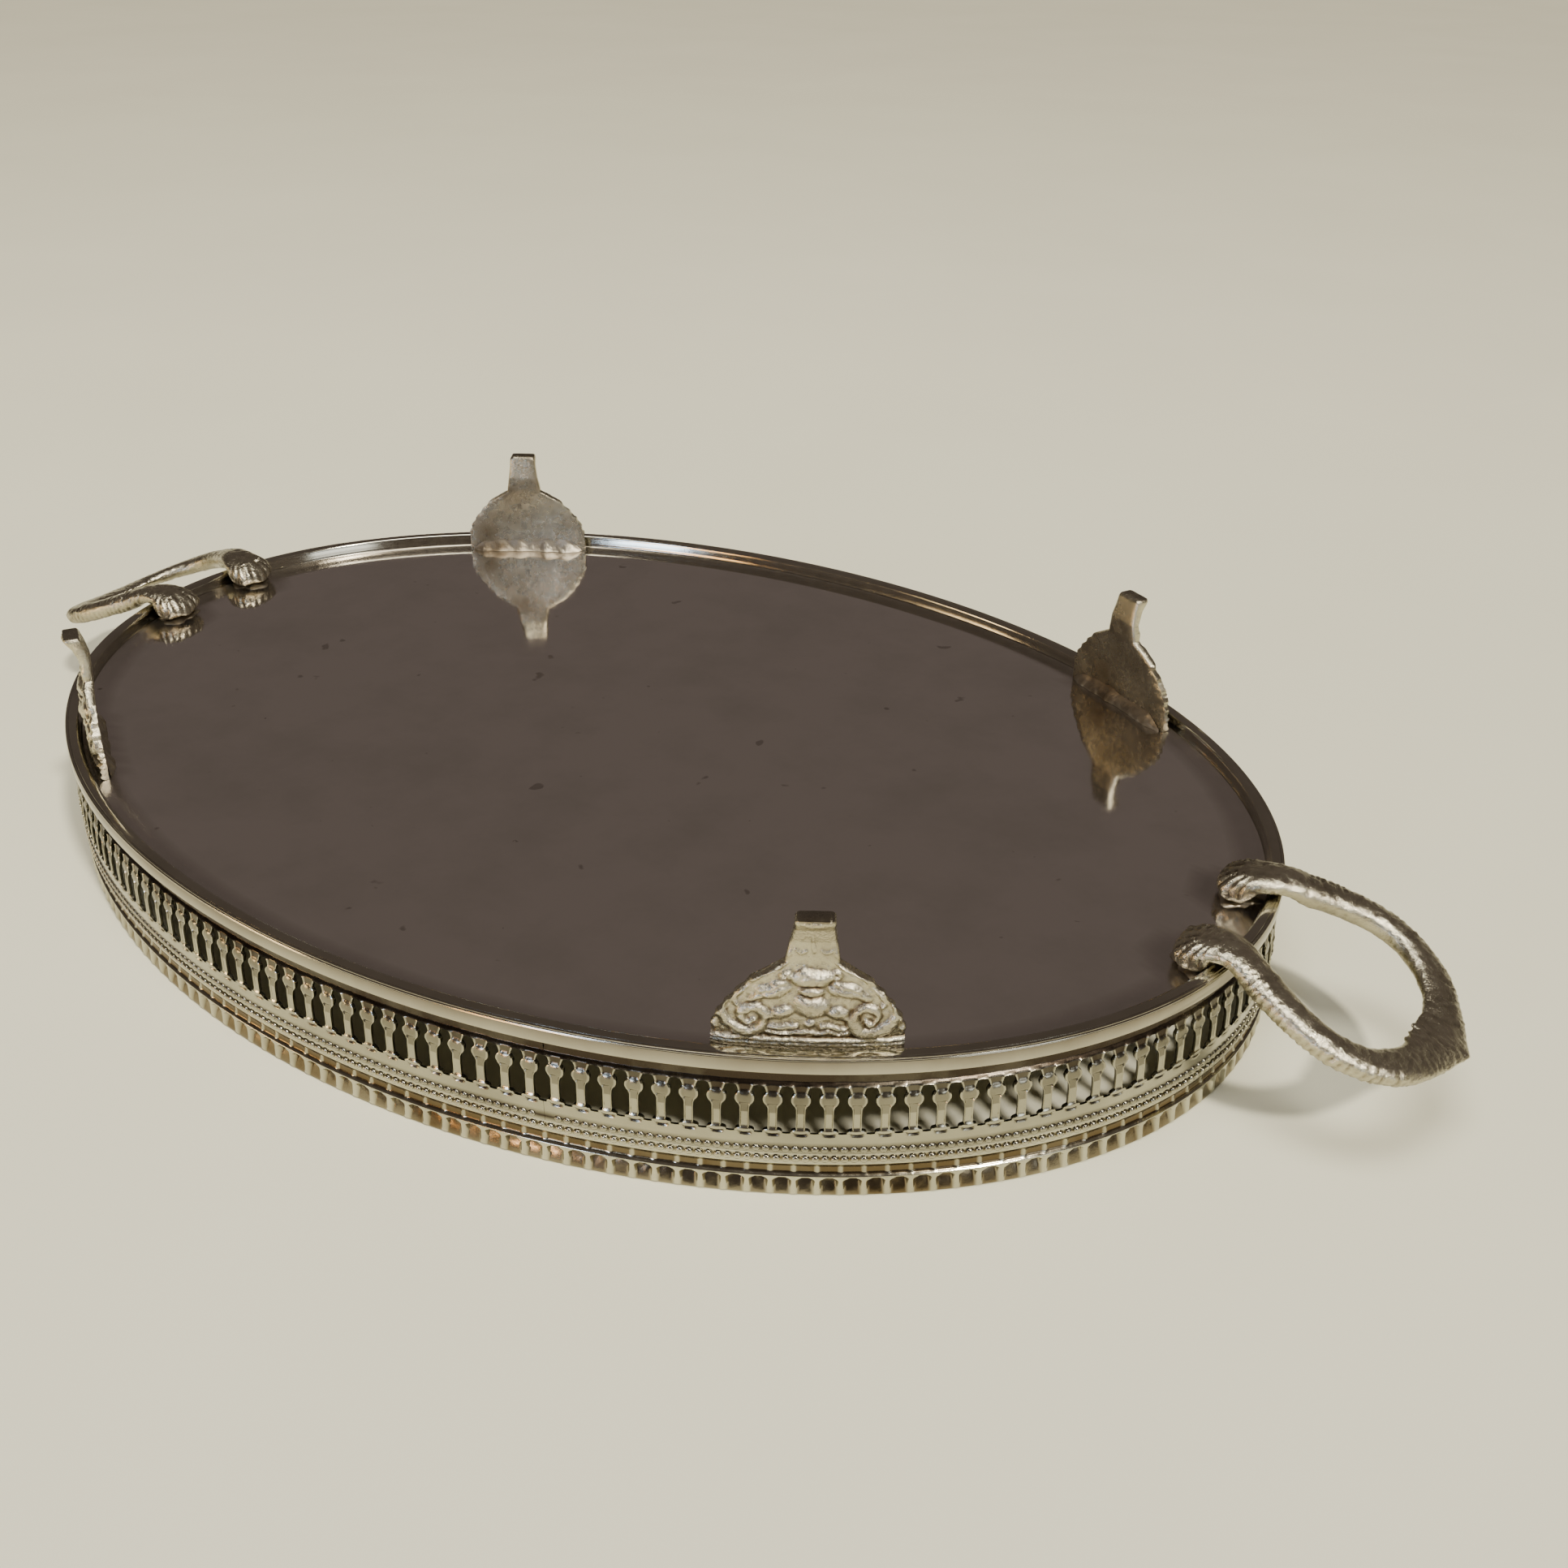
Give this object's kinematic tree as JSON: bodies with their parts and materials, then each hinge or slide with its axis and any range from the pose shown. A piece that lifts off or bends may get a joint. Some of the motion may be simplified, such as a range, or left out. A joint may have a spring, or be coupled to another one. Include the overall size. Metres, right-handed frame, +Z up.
{
  "type": "vanity tray",
  "caption": "Oval metal dressing-table tray with a pierced gallery, a fluted border, cast feet and loop handles, stored turned over on its lip.",
  "frame": {"origin": "on the resting plane, under the middle of the oval, with the tray lying upside down on the lip of its gallery", "axes": "+X along the long axis towards the right-hand handle, +Y across the tray, +Z up, the way the feet point while the tray is turned over; half a turn about X puts it the right way up"},
  "size_m": [0.4198, 0.2324, 0.0624],
  "materials": {
    "polished_plate": "polished",
    "pressed_plate": "gloss",
    "cast_plate": "satin",
    "solder": "matte"
  },
  "bodies": {
    "root": {"floor_pan": "polished_plate", "gallery_strip_right": "pressed_plate", "gallery_strip_left": "pressed_plate", "border_back": "pressed_plate", "border_front": "pressed_plate", "foot_front_right": "cast_plate", "foot_solder_front_right": "solder", "foot_front_left": "cast_plate", "foot_solder_front_left": "solder", "foot_back_left": "cast_plate", "foot_solder_back_left": "solder", "foot_back_right": "cast_plate", "foot_solder_back_right": "solder", "handle_right": "cast_plate", "handle_solder_right_a": "solder", "handle_solder_right_b": "solder", "handle_left": "cast_plate", "handle_solder_left_a": "solder", "handle_solder_left_b": "solder"}
  },
  "joints": []
}
